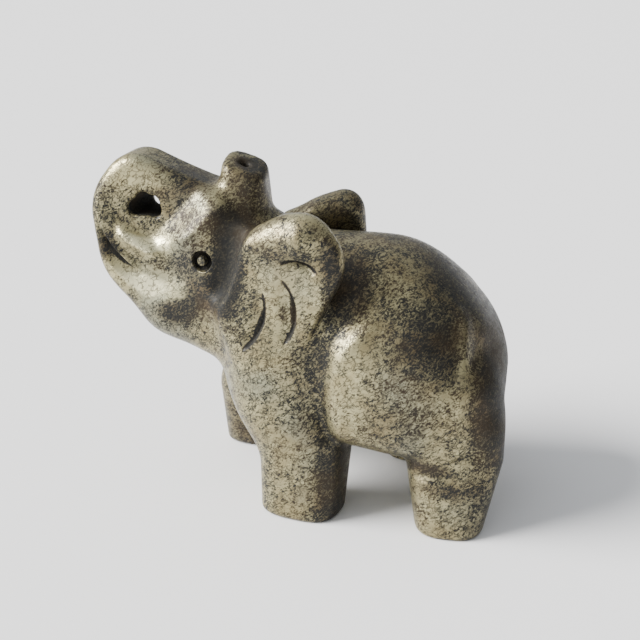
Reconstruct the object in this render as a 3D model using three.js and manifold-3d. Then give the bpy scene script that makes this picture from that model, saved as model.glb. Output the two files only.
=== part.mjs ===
// Elephant carving cut from one piece of pyrite, with the trunk raised and curled back to the forehead.
// Frame: +Z up, the elephant looks along -X, origin on the floor under the middle of the carving.
import * as THREE from "three";
import { mergeVertices } from "three/addons/utils/BufferGeometryUtils.js";
import Module from "manifold-3d";

// Driving sizes, in millimetres.
const CARVING_HEIGHT = 40; // floor to the top of the trunk
const MESH_CELL = 1.46; // edge of the cells that the carved surface is faceted in
const TRUNK_HALF_WIDTH = 3.41; // the curl of the trunk is a slab of twice this
const FAR_EAR_DROP = 1.9; // the far ear hangs lower than the near one
const FAR_EAR_BACK = 0.8; // and sits further to the rear
const HOLE_WIDTH = 3.9; // hole drilled through the curl of the trunk
const HOLE_HEIGHT = 3.0;
const HOLE_SLANT = 7.8; // degrees by which the drill ran to the rear
const HOLE_CORNER_RADIUS = 0.8;
const NOSTRIL_DIAMETER = 1.5; // pit drilled in the trunk's tip
const NOSTRIL_DEPTH = 1.6;
const EYE_RING_DIAMETER = 1.75; // middle of the groove round the eye ball
const EYE_GROOVE_WIDTH = 0.6;
const EAR_CUT_WIDTH = 0.8; // crescent cuts in the ear
const MOUTH_CUT_WIDTH = 0.9;
const END_OF_CUT_LIFT = 0.55; // share of a cut's width by which its ends rise out of the surface

// The figure's pose is given in shares of its height: one share is a fortieth of it.
const SHARES_IN_HEIGHT = 40;
const share = CARVING_HEIGHT / SHARES_IN_HEIGHT;
const inShares = (millimetres) => millimetres / share;

// Blending of solids given by their distance: negative inside, positive outside.
const mix = (a, b, t) => a + (b - a) * t;
const ease = (from, to, value) => {
  const t = Math.min(1, Math.max(0, (value - from) / (to - from)));
  return t * t * (3 - 2 * t);
};
const join = (a, b, softness) => {
  const overlap = Math.max(softness - Math.abs(a - b), 0) / softness;
  return Math.min(a, b) - (overlap * overlap * softness) / 4;
};
const keep = (a, b, softness) => -join(-a, -b, softness);
const cut = (a, b, softness) => -join(-a, b, softness);

const SMALLEST = 1e-4;

// Distance in front of a sloping line of the side view.
const beyond = (x, z, { at, normal }) => normal[0] * (x - at[0]) + normal[1] * (z - at[1]);

// Rounded block with three half sizes; power 2 is an ellipsoid and more is squarer.
function block(x, y, z, { centre, half, power }) {
  const a = Math.max(Math.abs(x - centre[0]) / half[0], SMALLEST);
  const b = Math.max(Math.abs(y - centre[1]) / half[1], SMALLEST);
  const c = Math.max(Math.abs(z - centre[2]) / half[2], SMALLEST);
  const size = (a ** power + b ** power + c ** power) ** (1 / power);
  const slope = Math.hypot(...[a, b, c].map((part, k) => part ** (power - 1) / half[k]));
  return (size - 1) / (slope * size ** (1 - power));
}

// Limb between two balls: a cone that touches both.
function limb(x, y, z, { from, to, radii }) {
  const run = to.map((v, k) => v - from[k]);
  const at = [x - from[0], y - from[1], z - from[2]];
  const length = Math.hypot(...run);
  const along = (at[0] * run[0] + at[1] * run[1] + at[2] * run[2]) / length;
  const aside = Math.sqrt(Math.max(at[0] ** 2 + at[1] ** 2 + at[2] ** 2 - along ** 2, 0));
  const taper = (radii[0] - radii[1]) / length;
  const level = Math.sqrt(1 - taper ** 2);
  const reached = along * level - aside * taper;
  if (reached < 0) return Math.hypot(aside, along) - radii[0];
  if (reached > length * level) return Math.hypot(aside, along - length) - radii[1];
  return aside * level + along * taper - radii[0];
}

// The same limb seen from the side, for outlines in the XZ plane.
const outlineLimb = (x, z, { from, to, radii }) =>
  limb(x, 0, z, { from: [from[0], 0, from[1]], to: [to[0], 0, to[1]], radii });

// Upright pillar with a rounded square section that changes from foot to top.
const CAP_SOFTNESS = 4;
function pillar(x, y, z, { foot, top, footHalf, topHalf, height, cap, turn = 0, power = 2.8 }) {
  const t = Math.min(1, Math.max(0, z / height));
  const dx = x - mix(foot[0], top[0], t);
  const dy = y - mix(foot[1], top[1], t);
  const halfX = mix(footHalf[0], topHalf[0], t);
  const halfY = mix(footHalf[1], topHalf[1], t);
  const a = Math.max(Math.abs(dx * Math.cos(turn) - dy * Math.sin(turn)) / halfX, SMALLEST);
  const b = Math.max(Math.abs(dx * Math.sin(turn) + dy * Math.cos(turn)) / halfY, SMALLEST);
  const size = (a ** power + b ** power) ** (1 / power);
  const slope = Math.hypot(a ** (power - 1) / halfX, b ** (power - 1) / halfY) * size ** (1 - power);
  return keep((size - 1) / slope, z - cap, CAP_SOFTNESS);
}

const NEAR = -1; // the elephant's left side
const FAR = 1;

// Barrel of the body: squarer low down, rounder along the back, with the slope of the rump and its
// upright rear face.
const BARREL = { centre: [9.84, 0, 20.06], half: [15.51, 11.6, 10.8] };
const BARREL_POWER = { low: 3.06, high: 2.07, from: 14, to: 25.09 };
const RUMP_SLOPE = { at: [24, 21.6], normal: [0.749, 0.671], softness: 4 };
const REAR_FACE = { lengthwise: 0.84, sideways: 0.568, reach: 22.69, softness: 1.8 };
function torso(x, y, z) {
  const power = mix(BARREL_POWER.low, BARREL_POWER.high, ease(BARREL_POWER.from, BARREL_POWER.to, z));
  const barrel = block(x, y, z, { ...BARREL, power });
  const sloped = keep(barrel, beyond(x, z, RUMP_SLOPE), RUMP_SLOPE.softness);
  const rear = REAR_FACE.lengthwise * x + REAR_FACE.sideways * Math.abs(y) - REAR_FACE.reach;
  return keep(sloped, rear, REAR_FACE.softness);
}

// Swelling of one side of the belly, joined to the thigh behind it.
const FLANK = { centre: [11.76, 5.04, 16.93], half: [7.82, 8.39, 8.22], power: 3.3 };
const THIGH = { centre: [16.67, 5.25, 14.41], half: [8.16, 7.22, 6.47], power: 2.6 };
const THIGH_SOFTNESS = 2.5;
const side = (x, y, z, hand) =>
  join(block(x, y * hand, z, FLANK), block(x, y * hand, z, THIGH), THIGH_SOFTNESS);

const LEGS = {
  nearFront: {
    foot: [2.4, -8.28],
    top: [2.65, -7.26],
    footHalf: [4.7, 3.83],
    topHalf: [5.15, 4.69],
    height: 9,
    cap: 13,
    turn: 0.2,
  },
  nearHind: {
    foot: [19.55, -8.73],
    top: [19.7, -7.14],
    footHalf: [3.84, 4.4],
    topHalf: [5.52, 4.6],
    height: 8,
    cap: 15,
  },
  farFront: {
    foot: [-6.3, 8.93],
    top: [-6.43, 7.09],
    footHalf: [4.96, 3.22],
    topHalf: [4.94, 4.53],
    height: 9,
    cap: 13,
  },
  farHind: {
    foot: [14.21, 8.54],
    top: [15.02, 7.22],
    footHalf: [4.07, 3.77],
    topHalf: [5.0, 4.6],
    height: 8,
    cap: 14,
  },
};

// Chest with the two shoulders and front legs.
const CHEST = { centre: [0, 0, 17.58], half: [8.6, 9.09, 9.0], power: 2.3 };
const NEAR_SHOULDER = { centre: [0.07, -6.03, 16.61], half: [6.32, 6.02, 8.93], power: 2.4 };
const FAR_SHOULDER = { centre: [-2.4, 6.2, 15.5], half: [6.2, 6.1, 9.5], power: 2.4 };
const SHOULDER_SOFTNESS = 3;
function forequarters(x, y, z) {
  const shoulders = [NEAR_SHOULDER, FAR_SHOULDER].map((form) => block(x, y, z, form));
  const legs = [LEGS.nearFront, LEGS.farFront].map((form) => pillar(x, y, z, form));
  return [...shoulders, ...legs].reduce((d, next) => join(d, next, SHOULDER_SOFTNESS), block(x, y, z, CHEST));
}

const NECK = { from: [-4, 0, 24.83], to: [5.95, 0, 20.64], radii: [7.82, 9.23] };

// Side outline of the head with the trunk's curl and the chin, and the two flats of its jaw.
const MUZZLE = { from: [-18.12, 33.57], to: [-12.86, 27.61], radii: [5.54, 9.52] };
const JAW = { from: [-13.26, 27.42], to: [-7.6, 25.02], radii: [9.27, 8.82] };
const CURL_RIDGE = { from: [-18.33, 36.52], to: [-11.03, 33.91], radii: [3.28, 2.29] };
const CHIN_FLAT = { at: [-20.5, 23.54], normal: [-0.784, -0.619] };
const JAW_FLAT = { at: [-12.5, 16.28], normal: [-0.399, -0.93] };
const FLAT_SOFTNESS = 1.5;
const OUTLINE_SOFTNESS = 1;
function headOutline(x, z) {
  const jaw = join(outlineLimb(x, z, MUZZLE), outlineLimb(x, z, JAW), OUTLINE_SOFTNESS);
  const curled = join(jaw, outlineLimb(x, z, CURL_RIDGE), OUTLINE_SOFTNESS);
  return [CHIN_FLAT, JAW_FLAT].reduce((kept, flat) => keep(kept, beyond(x, z, flat), FLAT_SOFTNESS), curled);
}

// The trunk's curl is a flat slab. Below the brow line the head widens to the cheek, below the lip
// line to the muzzle, and towards the neck to the jowl.
const BROW_LINE = { at: [-10.75, 34], normal: [Math.SQRT1_2, -Math.SQRT1_2] };
const LIP_LINE = { at: [-19.04, 31.15], normal: [-0.417, -0.908] };
const CHEEK = { width: 2.99, from: -2.16, to: 2.0, toAtJaw: 7.5, high: 32, low: 26 };
const MUZZLE_STEP = { width: 1.43, reach: 1.2, reachInFront: 3.5, front: -22.5, full: -19 };
const JOWL = { width: 1.42, from: -14.03, to: -4.02, high: 34, low: 28 };
const HEAD_EDGE = { slab: 1.8, cheek: 5, from: -3, to: 9 };
const STEP_SOFTNESS = 0.8;
function head(x, y, z) {
  const belowBrow = beyond(x, z, BROW_LINE);
  const belowLip = beyond(x, z, LIP_LINE);
  const fullCheek = mix(CHEEK.to, CHEEK.toAtJaw, ease(CHEEK.high, CHEEK.low, z));
  const cheek = CHEEK.width * ease(CHEEK.from, fullCheek, belowBrow);
  const step = mix(MUZZLE_STEP.reachInFront, MUZZLE_STEP.reach, ease(MUZZLE_STEP.front, MUZZLE_STEP.full, x));
  const muzzle = MUZZLE_STEP.width * ease(-step, step, belowLip);
  const half =
    inShares(TRUNK_HALF_WIDTH) -
    join(-cheek, -muzzle, STEP_SOFTNESS) +
    JOWL.width * ease(JOWL.from, JOWL.to, x) * ease(JOWL.high, JOWL.low, z);
  const edge = mix(HEAD_EDGE.slab, HEAD_EDGE.cheek, ease(HEAD_EDGE.from, HEAD_EDGE.to, belowBrow));
  return keep(headOutline(x, z), Math.abs(y) - half, edge);
}

// Upright end of the trunk on the forehead, its top sloping down to the rear.
const TIP_BASE = 31.09;
const TIP = {
  foot: [-6.31, -0.16],
  top: [-5.86, -0.14],
  footHalf: [3.6, 3.78],
  topHalf: [2.4, 2.71],
  height: 8,
  cap: 12,
  power: 3,
};
const TIP_TOP = { at: [-5.67, 0, 38.93], normal: [0.3, -0.202, 0.93], softness: 0.8 };
const TIP_ROOT = { level: 30, softness: 3 };
function trunkTip(x, y, z) {
  const { at, normal, softness } = TIP_TOP;
  const above = normal[0] * (x - at[0]) + normal[1] * (y - at[1]) + normal[2] * (z - at[2]);
  const topped = keep(pillar(x, y, z - TIP_BASE, TIP), above, softness);
  return keep(topped, TIP_ROOT.level - z, TIP_ROOT.softness);
}

// Thick ear that stands off the body at its rear edge, with a rolled fold along its top.
const EAR_REAR = { from: [1.68, 30.36], to: [-1.2, 23.4], radii: [4.23, 4.6] };
const NEAR_EAR_REAR = { from: [2.6, 30.5], to: [-0.9, 23.2], radii: [4.75, 4.8] }; // the near ear is wider
const NEAR_EAR_TOP = { from: [2.5, 30.5], to: [-2.8, 29.3], radii: [4.8, 3.2] };
const EAR_FRONT = { from: [-2.8, 29.14], to: [-2.6, 23.8], radii: [3.14, 4.4] };
const EAR_PLATE = { front: -7, rear: 6.5, lean: 0.028, level: 22 };
const EAR_STANDS_OUT = { [NEAR]: { front: 7.2, rear: 11.2 }, [FAR]: { front: 8.1, rear: 10.75 } };
const EAR_THICKNESS = { front: 2.5, rear: 1.25, from: -4, to: 5 }; // half of it
const EAR_FOLD = { from: [-3.18, 31.25], to: [3.1, 33.34], radii: [1.74, 2.25], outAtFront: 1.2 };
const EAR_SOFTNESS = 1.6;
const farEarDrop = (hand) => (hand === FAR ? inShares(FAR_EAR_DROP) : 0);
const farEarBack = (hand) => (hand === FAR ? inShares(FAR_EAR_BACK) : 0);
function ear(x, y, z, hand) {
  const level = z + farEarDrop(hand);
  const along = x - farEarBack(hand);
  const out = y * hand;
  const limbs = hand === NEAR ? [NEAR_EAR_REAR, NEAR_EAR_TOP, EAR_FRONT] : [EAR_FRONT];
  const outlines = limbs.map((form) => outlineLimb(along, level, form));
  const rearLobe = outlineLimb(along, level, EAR_REAR);
  const outline = outlines.reduce((d, next) => join(d, next, OUTLINE_SOFTNESS), rearLobe);
  const { front, rear } = EAR_STANDS_OUT[hand];
  const bow = mix(front, rear, ease(EAR_PLATE.front, EAR_PLATE.rear, along));
  const middle = bow - EAR_PLATE.lean * (level - EAR_PLATE.level);
  const thinned = ease(EAR_THICKNESS.from, EAR_THICKNESS.to, along);
  const half = mix(EAR_THICKNESS.front, EAR_THICKNESS.rear, thinned);
  const plate = keep(outline, Math.abs(out - middle) - half, EAR_SOFTNESS);
  const fold = limb(along, out, level, {
    from: [EAR_FOLD.from[0], front + EAR_FOLD.outAtFront, EAR_FOLD.from[1]],
    to: [EAR_FOLD.to[0], rear, EAR_FOLD.to[1]],
    radii: EAR_FOLD.radii,
  });
  return join(plate, fold, EAR_SOFTNESS);
}

// Hollow between the cheek and the ear.
const CHEEK_HOLLOW = { from: [-5.7, 8.8, 33.8], to: [-7.2, 8.2, 26.6], radii: [2.3, 1.3], softness: 1.4 };

// The whole figure, before the drilled and incised work, with the softness of each joining line.
const BLEND = {
  sides: 1.5,
  forequarters: 0.9,
  nearHindLeg: 1,
  farHindLeg: 1.5,
  neck: 2.5,
  trunkTip: 1.4,
  head: 1.8,
  ears: 0.9,
  earsInFront: 2.4,
};
const EAR_ROOT = { front: -6.5, rear: -1 }; // the joining line sharpens from front to rear
function figure(x, y, z) {
  let d = torso(x, y, z);
  for (const hand of [NEAR, FAR]) d = join(d, side(x, y, z, hand), BLEND.sides);
  d = join(d, forequarters(x, y, z), BLEND.forequarters);
  d = join(d, pillar(x, y, z, LEGS.nearHind), BLEND.nearHindLeg);
  d = join(d, pillar(x, y, z, LEGS.farHind), BLEND.farHindLeg);
  d = join(d, limb(x, y, z, NECK), BLEND.neck);
  d = join(d, join(head(x, y, z), trunkTip(x, y, z), BLEND.trunkTip), BLEND.head);
  const earSoftness = mix(BLEND.earsInFront, BLEND.ears, ease(EAR_ROOT.front, EAR_ROOT.rear, x));
  for (const hand of [NEAR, FAR]) {
    d = join(d, ear(x, y, z, hand), earSoftness);
    d = cut(d, limb(x, y * hand, z, CHEEK_HOLLOW), CHEEK_HOLLOW.softness);
  }
  return d;
}

// Room that the figure takes, in shares, with a margin of a cell or more.
const ROOM = { low: [-26.3, -16.2, -3.1], high: [27.9, 16.4, 42.5] };
const FOOT_STUB = -1.5; // the legs run on a little below the floor, and are then ground flat
const STUB_SOFTNESS = 0.5;
const CUBE_EDGES = [0, 1, 2].flatMap((axis) =>
  [0, 1].flatMap((p) =>
    [0, 1].map((q) => ({
      axis,
      from: [0, 1, 2].map((k) => (k === axis ? 0 : k === (axis + 1) % 3 ? p : q)),
    })),
  ),
);

// Where inside and outside corners alternate round a grid face, the surface would pinch to a line
// there, so the shallowest inside corner is given up until no face is left like that.
function clearPinches(values, count, flat) {
  for (let pinched = true; pinched; ) {
    pinched = false;
    for (let axis = 0; axis < 3; axis++) {
      const u = [0, 1, 2].map((k) => (k === (axis + 1) % 3 ? 1 : 0));
      const v = [0, 1, 2].map((k) => (k === (axis + 2) % 3 ? 1 : 0));
      for (let i = 0; i < count[0] - u[0] - v[0]; i++)
        for (let j = 0; j < count[1] - u[1] - v[1]; j++)
          for (let k = 0; k < count[2] - u[2] - v[2]; k++) {
            const ring = [
              flat(i, j, k),
              flat(i + u[0], j + u[1], k + u[2]),
              flat(i + u[0] + v[0], j + u[1] + v[1], k + u[2] + v[2]),
              flat(i + v[0], j + v[1], k + v[2]),
            ];
            const inside = ring.map((corner) => values[corner] < 0);
            if (inside[0] !== inside[2] || inside[1] !== inside[3] || inside[0] === inside[1]) continue;
            const pair = inside[0] ? [ring[0], ring[2]] : [ring[1], ring[3]];
            values[values[pair[0]] > values[pair[1]] ? pair[0] : pair[1]] = SMALLEST;
            pinched = true;
          }
    }
  }
}

// Facets the surface of a distance function: one point in each cell that the surface crosses, and
// one pair of triangles across each grid edge that it crosses.
function facet(distance, cell) {
  const count = ROOM.low.map((low, k) => Math.ceil((ROOM.high[k] - low) / cell) + 1);
  const place = (index, k) => ROOM.low[k] + cell * index;
  const flat = (i, j, k) => (i * count[1] + j) * count[2] + k;
  const values = new Float64Array(count[0] * count[1] * count[2]);
  for (let i = 0; i < count[0]; i++)
    for (let j = 0; j < count[1]; j++)
      for (let k = 0; k < count[2]; k++)
        values[flat(i, j, k)] = distance(place(i, 0), place(j, 1), place(k, 2));
  clearPinches(values, count, flat);

  const points = [];
  const pointOfCell = new Map();
  for (let i = 0; i < count[0] - 1; i++)
    for (let j = 0; j < count[1] - 1; j++)
      for (let k = 0; k < count[2] - 1; k++) {
        const sum = [0, 0, 0];
        let crossings = 0;
        for (const { axis, from } of CUBE_EDGES) {
          const to = from.map((v, m) => (m === axis ? 1 : v));
          const a = values[flat(i + from[0], j + from[1], k + from[2])];
          const b = values[flat(i + to[0], j + to[1], k + to[2])];
          if (a < 0 === b < 0) continue;
          crossings += 1;
          for (let m = 0; m < 3; m++) sum[m] += m === axis ? a / (a - b) : from[m];
        }
        if (!crossings) continue;
        pointOfCell.set(flat(i, j, k), points.length);
        points.push([i, j, k].map((index, m) => place(index + sum[m] / crossings, m)));
      }

  const triangles = [];
  const corner = [0, 0, 0];
  const gap = (a, b) => Math.hypot(...points[a].map((v, m) => v - points[b][m]));
  for (let axis = 0; axis < 3; axis++) {
    const u = (axis + 1) % 3;
    const v = (axis + 2) % 3;
    for (corner[axis] = 0; corner[axis] < count[axis] - 1; corner[axis]++)
      for (corner[u] = 1; corner[u] < count[u] - 1; corner[u]++)
        for (corner[v] = 1; corner[v] < count[v] - 1; corner[v]++) {
          const next = corner.map((c, m) => (m === axis ? c + 1 : c));
          const inside = values[flat(...corner)] < 0;
          if (inside === values[flat(...next)] < 0) continue;
          const around = [[1, 1], [0, 1], [0, 0], [1, 0]].map(([du, dv]) =>
            pointOfCell.get(flat(...corner.map((c, m) => (m === u ? c - du : m === v ? c - dv : c)))),
          );
          if (!inside) around.reverse();
          const [a, b, c, d] = around;
          if (gap(a, c) <= gap(b, d)) triangles.push(a, b, c, a, c, d);
          else triangles.push(a, b, d, b, c, d);
        }
  }
  return { points, triangles };
}

// Moves a point onto the surface in a few steps.
const SETTLE_STEPS = 4;
const LONGEST_STEP = 0.25;
const SHARE_OF_WAY = 0.8; // each step goes this share of the way
const LEAST_STEEPNESS = 0.05;
const PROBE = 0.02;
function settle(point, distance) {
  let at = point;
  for (let step = 0; step < SETTLE_STEPS; step++) {
    const d = distance(...at);
    const slope = [0, 1, 2].map((k) => {
      const ahead = at.map((v, m) => v + (m === k ? PROBE : 0));
      const behind = at.map((v, m) => v - (m === k ? PROBE : 0));
      return (distance(...ahead) - distance(...behind)) / (2 * PROBE);
    });
    const steepness = Math.max(slope[0] ** 2 + slope[1] ** 2 + slope[2] ** 2, LEAST_STEEPNESS);
    const move = slope.map((s) => (-SHARE_OF_WAY * d * s) / steepness);
    const shorten = Math.min(1, LONGEST_STEP / Math.max(Math.hypot(...move), SMALLEST));
    at = at.map((v, m) => v + move[m] * shorten);
  }
  return at;
}

const wasm = await Module();
wasm.setup();

function solidFrom(points, triangles) {
  const vertProperties = new Float32Array(points.flat());
  const triVerts = new Uint32Array(triangles);
  return new wasm.Manifold(new wasm.Mesh({ numProp: 3, vertProperties, triVerts }));
}

// A three.js shape as a solid: its vertices merged by place, so that it is one closed skin.
function solidOf(geometry) {
  const bare = new THREE.BufferGeometry().setAttribute("position", geometry.getAttribute("position"));
  if (geometry.index) bare.setIndex(geometry.index);
  const merged = mergeVertices(bare, SMALLEST);
  return new wasm.Manifold(
    new wasm.Mesh({
      numProp: 3,
      vertProperties: new Float32Array(merged.attributes.position.array),
      triVerts: new Uint32Array(merged.index.array),
    }),
  );
}

const MARCH = 0.05; // step of the search for the side

// Place on the figure's side, in millimetres, over a point of the side view in shares. Past the
// figure's outline it is the nearest place on its edge.
function onSide(x, z, hand) {
  let out = ROOM.high[1];
  while (out > 0 && figure(x, out * hand, z) > 0) out -= MARCH;
  return new THREE.Vector3(...settle([x, out * hand, z], figure)).multiplyScalar(share);
}

// Incised line along an arc of the side view, sunk into the side and rising out of it at both ends.
const STEPS_IN_CUT = 12;
const SIDES_OF_CUT = 8;
function incision(arc, hand, width) {
  const steps = STEPS_IN_CUT;
  const path = [];
  for (let i = 0; i <= steps; i++) {
    const t = i / steps;
    const angle = THREE.MathUtils.degToRad(mix(arc.from, arc.to, t));
    const x = arc.centre[0] + arc.radius * Math.cos(angle);
    const z = arc.centre[1] + arc.radius * Math.sin(angle);
    const point = onSide(x, z, hand);
    point.y += hand * width * END_OF_CUT_LIFT * (2 * Math.abs(t - 0.5)) ** 3;
    path.push(point);
  }
  const section = new THREE.Shape().absarc(0, 0, width / 2, 0, 2 * Math.PI);
  const extrudePath = new THREE.CatmullRomCurve3(path);
  const curveSegments = SIDES_OF_CUT / 2;
  return new THREE.ExtrudeGeometry(section, { extrudePath, steps, curveSegments, bevelEnabled: false });
}

const EAR_CUTS = [
  { centre: [2.4, 28.3], radius: 2.75, from: 126, to: 34 },
  { centre: [-2.95, 24.95], radius: 5.25, from: 44, to: -38 },
  { centre: [-7.3, 25.2], radius: 6.05, from: 15, to: -53 },
];
const MOUTH_CUT = { centre: [-10.5, 37.5], radius: 13.2, from: -153, to: -121 };

// Hole through the curl: four rounded corners, its low side flat and its front end the lower one.
const HOLE_CENTRE = [-16.6, 34.1];
const HOLE_CORNERS = [
  [-1, -0.6],
  [1, -1],
  [0.9, 0.5],
  [-0.1, 1],
];
function trunkHole() {
  const reachX = HOLE_WIDTH / 2 - HOLE_CORNER_RADIUS;
  const reachZ = HOLE_HEIGHT / 2 - HOLE_CORNER_RADIUS;
  const corners = HOLE_CORNERS.map(([alongX, alongZ]) => new THREE.Vector2(alongX * reachX, alongZ * reachZ));
  const outline = new THREE.Shape();
  corners.forEach((corner, i) => {
    const before = corners[(i + corners.length - 1) % corners.length];
    const after = corners[(i + 1) % corners.length];
    const start = Math.atan2(corner.y - before.y, corner.x - before.x) - Math.PI / 2;
    const end = Math.atan2(after.y - corner.y, after.x - corner.x) - Math.PI / 2;
    outline.absarc(corner.x, corner.y, HOLE_CORNER_RADIUS, start, end, false);
  });
  const depth = CARVING_HEIGHT / 2;
  const hole = new THREE.ExtrudeGeometry(outline, { depth, curveSegments: 4, bevelEnabled: false });
  hole.translate(0, 0, -depth / 2).rotateX(Math.PI / 2).rotateZ(-THREE.MathUtils.degToRad(HOLE_SLANT));
  return hole.translate(HOLE_CENTRE[0] * share, 0, HOLE_CENTRE[1] * share);
}

const NOSTRIL_TOP = [-5.75, -0.4, 39.3];
function nostril() {
  const pit = new THREE.CylinderGeometry(NOSTRIL_DIAMETER / 2, NOSTRIL_DIAMETER / 4, 2 * NOSTRIL_DEPTH, 12);
  return pit.rotateX(Math.PI / 2).translate(...NOSTRIL_TOP.map((v) => v * share));
}

const EYE = { place: [-9.4, 28.85], turn: 0.12 };
function eyeGroove(hand) {
  const ring = new THREE.TorusGeometry(EYE_RING_DIAMETER / 2, EYE_GROOVE_WIDTH / 2, 6, 18);
  const at = onSide(...EYE.place, hand);
  return ring.rotateX(Math.PI / 2).rotateZ(hand * EYE.turn).translate(at.x, at.y, at.z);
}

function carve() {
  const onStubs = (x, y, z) => keep(figure(x, y, z), FOOT_STUB - z, STUB_SOFTNESS);
  const { points, triangles } = facet(onStubs, inShares(MESH_CELL));
  const settled = points.map((point) => settle(point, onStubs).map((v) => v * share));
  let carving = solidFrom(settled, triangles);
  const room = 2 * CARVING_HEIGHT;
  const floor = new THREE.BoxGeometry(room, room, room).translate(0, 0, -room / 2);
  const tools = [floor, trunkHole(), nostril()];
  for (const hand of [NEAR, FAR]) {
    tools.push(eyeGroove(hand), incision(MOUTH_CUT, hand, MOUTH_CUT_WIDTH));
    for (const arc of EAR_CUTS) {
      const centre = [arc.centre[0] + farEarBack(hand), arc.centre[1] - farEarDrop(hand)];
      tools.push(incision({ ...arc, centre }, hand, EAR_CUT_WIDTH));
    }
  }
  for (const tool of tools) carving = carving.subtract(solidOf(tool));
  const { vertProperties, triVerts } = carving.getMesh();
  const geometry = new THREE.BufferGeometry();
  geometry.setAttribute("position", new THREE.BufferAttribute(vertProperties, 3));
  geometry.setIndex(new THREE.BufferAttribute(triVerts, 1));
  return geometry;
}

// Polished pyrite: pale brass grains in a dark grey-brown ground.
const pyrite = new THREE.MeshStandardMaterial({ color: 0x8c8468, roughness: 0.34, metalness: 0.7 });

const geometry = carve();
geometry.computeBoundingBox();
const middle = geometry.boundingBox.getCenter(new THREE.Vector3());
geometry.translate(-middle.x, -middle.y, 0);
geometry.computeVertexNormals();

const elephant = new THREE.Mesh(geometry, pyrite);
elephant.name = "elephant_carving";

const group = new THREE.Group();
group.add(elephant);
export default group;
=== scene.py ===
import bpy
import numpy as np
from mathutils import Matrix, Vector


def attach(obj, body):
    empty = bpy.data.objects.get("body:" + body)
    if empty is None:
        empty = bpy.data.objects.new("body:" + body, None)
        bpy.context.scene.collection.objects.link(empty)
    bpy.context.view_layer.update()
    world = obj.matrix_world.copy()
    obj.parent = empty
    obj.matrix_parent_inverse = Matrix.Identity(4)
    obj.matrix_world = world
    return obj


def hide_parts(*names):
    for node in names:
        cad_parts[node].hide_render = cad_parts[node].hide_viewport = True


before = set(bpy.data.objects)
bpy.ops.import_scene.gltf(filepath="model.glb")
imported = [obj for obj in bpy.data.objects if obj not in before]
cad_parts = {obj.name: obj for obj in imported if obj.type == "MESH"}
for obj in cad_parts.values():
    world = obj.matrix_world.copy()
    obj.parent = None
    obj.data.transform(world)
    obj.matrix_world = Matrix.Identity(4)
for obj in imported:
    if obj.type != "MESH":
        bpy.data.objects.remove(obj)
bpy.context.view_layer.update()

# Elephant carving.
# One piece of pyrite, sawn to a block, ground to shape on a wheel, drilled through the curl of the
# trunk, incised with a thin disc and tumbled to a polish. Nothing is joined to it.
MM = 0.001
NEAR, FAR = -1, 1  # the elephant's left side faces the camera
SMALLEST = 1e-4
THIN = 0.01  # radius of a drawn line
FAR_OFF = 9.0  # further than any line reaches


# The form is a distance to the skin in millimetres, negative inside the stone. X runs from the trunk
# to the rump, Y from the near side to the far one, and Z up from the soles.
def mix(a, b, t):
    return a + (b - a) * t


def ease(start, end, value):
    t = np.clip((value - start) / (end - start), 0, 1)
    return t * t * (3 - 2 * t)


def join(a, b, softness):
    overlap = np.maximum(softness - np.abs(a - b), 0) / softness
    return np.minimum(a, b) - overlap * overlap * softness / 4


def keep(a, b, softness):
    return -join(-a, -b, softness)


def cut(a, b, softness):
    return -join(-a, b, softness)


def beyond(x, z, at, normal):
    """Distance in front of a sloping line of the side view."""
    return normal[0] * (x - at[0]) + normal[1] * (z - at[1])


def block(x, y, z, centre, half, power):
    """Rounded block with three half sizes; power 2 is an ellipsoid and more is squarer."""
    a, b, c = (np.maximum(np.abs(v - m) / h, SMALLEST) for v, m, h in zip((x, y, z), centre, half))
    size = (a**power + b**power + c**power) ** (1 / power)
    slopes = ((v ** (power - 1) / h) ** 2 for v, h in zip((a, b, c), half))
    return (size - 1) / (np.sqrt(sum(slopes)) * size ** (1 - power))


def limb(x, y, z, start, end, start_radius, end_radius):
    """Limb between two balls: a cone that touches both."""
    run = [e - s for s, e in zip(start, end)]
    at = [v - s for s, v in zip(start, (x, y, z))]
    length = np.sqrt(sum(r * r for r in run))
    along = sum(a * r for a, r in zip(at, run)) / length
    aside = np.sqrt(np.maximum(sum(a * a for a in at) - along**2, 0))
    taper = (start_radius - end_radius) / length
    level = np.sqrt(1 - taper**2)
    reached = along * level - aside * taper
    flank = aside * level + along * taper - start_radius
    ball = np.hypot(aside, along) - start_radius
    tip = np.hypot(aside, along - length) - end_radius
    return np.where(reached < 0, ball, np.where(reached > length * level, tip, flank))


def outline_limb(x, z, start, end, start_radius, end_radius):
    """The same limb in the side view, through the whole width."""
    return limb(x, 0, z, (start[0], 0, start[1]), (end[0], 0, end[1]), start_radius, end_radius)


def along_path(x, z, path, radius=THIN, softness=SMALLEST):
    """Distance to a rounded line through the points of a path in the side view."""
    d = FAR_OFF
    for start, end in zip(path, path[1:]):
        d = join(d, outline_limb(x, z, start, end, radius, radius), softness)
    return d


CAP_SOFTNESS = 4


def pillar(x, y, z, foot, top, foot_half, top_half, height, cap, turn=0.0, power=2.8):
    """Upright pillar with a rounded square section that changes from foot to top."""
    t = np.clip(z / height, 0, 1)
    dx = x - mix(foot[0], top[0], t)
    dy = y - mix(foot[1], top[1], t)
    half_x = mix(foot_half[0], top_half[0], t)
    half_y = mix(foot_half[1], top_half[1], t)
    a = np.maximum(np.abs(dx * np.cos(turn) - dy * np.sin(turn)) / half_x, SMALLEST)
    b = np.maximum(np.abs(dx * np.sin(turn) + dy * np.cos(turn)) / half_y, SMALLEST)
    size = (a**power + b**power) ** (1 / power)
    slope = np.hypot(a ** (power - 1) / half_x, b ** (power - 1) / half_y) * size ** (1 - power)
    return keep((size - 1) / slope, z - cap, CAP_SOFTNESS)


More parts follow.
